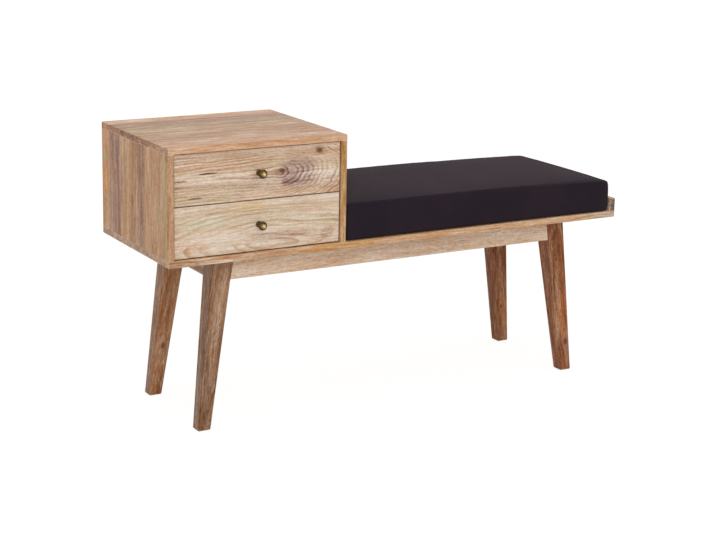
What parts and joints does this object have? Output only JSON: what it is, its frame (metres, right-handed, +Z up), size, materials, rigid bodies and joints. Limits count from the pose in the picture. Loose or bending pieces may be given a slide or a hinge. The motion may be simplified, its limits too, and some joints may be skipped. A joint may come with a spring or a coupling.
{
  "type": "telephone bench",
  "caption": "Wooden telephone bench: a drawer case at one end, a loose seat cushion held by a low end lip, and splayed tapered legs joined by aprons.",
  "frame": {"origin": "on the floor, under the middle of the whole bench with its knobs", "axes": "+X along the bench from the drawer case to the end lip, +Y from the drawers to the back, +Z up"},
  "size_m": [1.1, 0.37, 0.6],
  "materials": {
    "case_wood": "oiled satin",
    "drawer_front_wood": "oiled satin",
    "leg_wood": "oiled satin",
    "apron_wood": "oiled satin",
    "inner_wood": "plain planed",
    "knob_brass": "antique, worn",
    "bolt_steel": "zinc plated",
    "cushion_fabric": "plain close weave"
  },
  "bodies": {
    "frame": {"apron_back": "apron_wood", "apron_front": "apron_wood", "apron_left": "apron_wood", "apron_right": "apron_wood", "bench_board": "case_wood", "case_back": "case_wood", "case_side_left": "case_wood", "case_side_right": "case_wood", "case_top": "case_wood", "corner_block_back_left": "inner_wood", "corner_block_back_right": "inner_wood", "corner_block_front_left": "inner_wood", "corner_block_front_right": "inner_wood", "end_lip": "case_wood", "leg_back_left": "leg_wood", "leg_back_right": "leg_wood", "leg_front_left": "leg_wood", "leg_front_right": "leg_wood", "runner_lower_left": "inner_wood", "runner_lower_right": "inner_wood", "runner_upper_left": "inner_wood", "runner_upper_right": "inner_wood"},
    "drawer_lower": {"drawer_lower_back": "inner_wood", "drawer_lower_bottom": "inner_wood", "drawer_lower_front": "drawer_front_wood", "drawer_lower_knob": "knob_brass", "drawer_lower_knob_bolt": "bolt_steel", "drawer_lower_side_left": "inner_wood", "drawer_lower_side_right": "inner_wood"},
    "drawer_upper": {"drawer_upper_back": "inner_wood", "drawer_upper_bottom": "inner_wood", "drawer_upper_front": "drawer_front_wood", "drawer_upper_knob": "knob_brass", "drawer_upper_knob_bolt": "bolt_steel", "drawer_upper_side_left": "inner_wood", "drawer_upper_side_right": "inner_wood"},
    "cushion": {"seat_cushion": "cushion_fabric"}
  },
  "joints": [
    {"name": "drawer_lower_slide", "type": "slide", "parent": "frame", "child": "drawer_lower", "axis": [0, -1, 0], "range_m": [0, 0.22]},
    {"name": "drawer_upper_slide", "type": "slide", "parent": "frame", "child": "drawer_upper", "axis": [0, -1, 0], "range_m": [0, 0.22]},
    {"name": "cushion_lift", "type": "slide", "parent": "frame", "child": "cushion", "axis": [0, 0, 1], "range_m": [0, 0.1]}
  ]
}
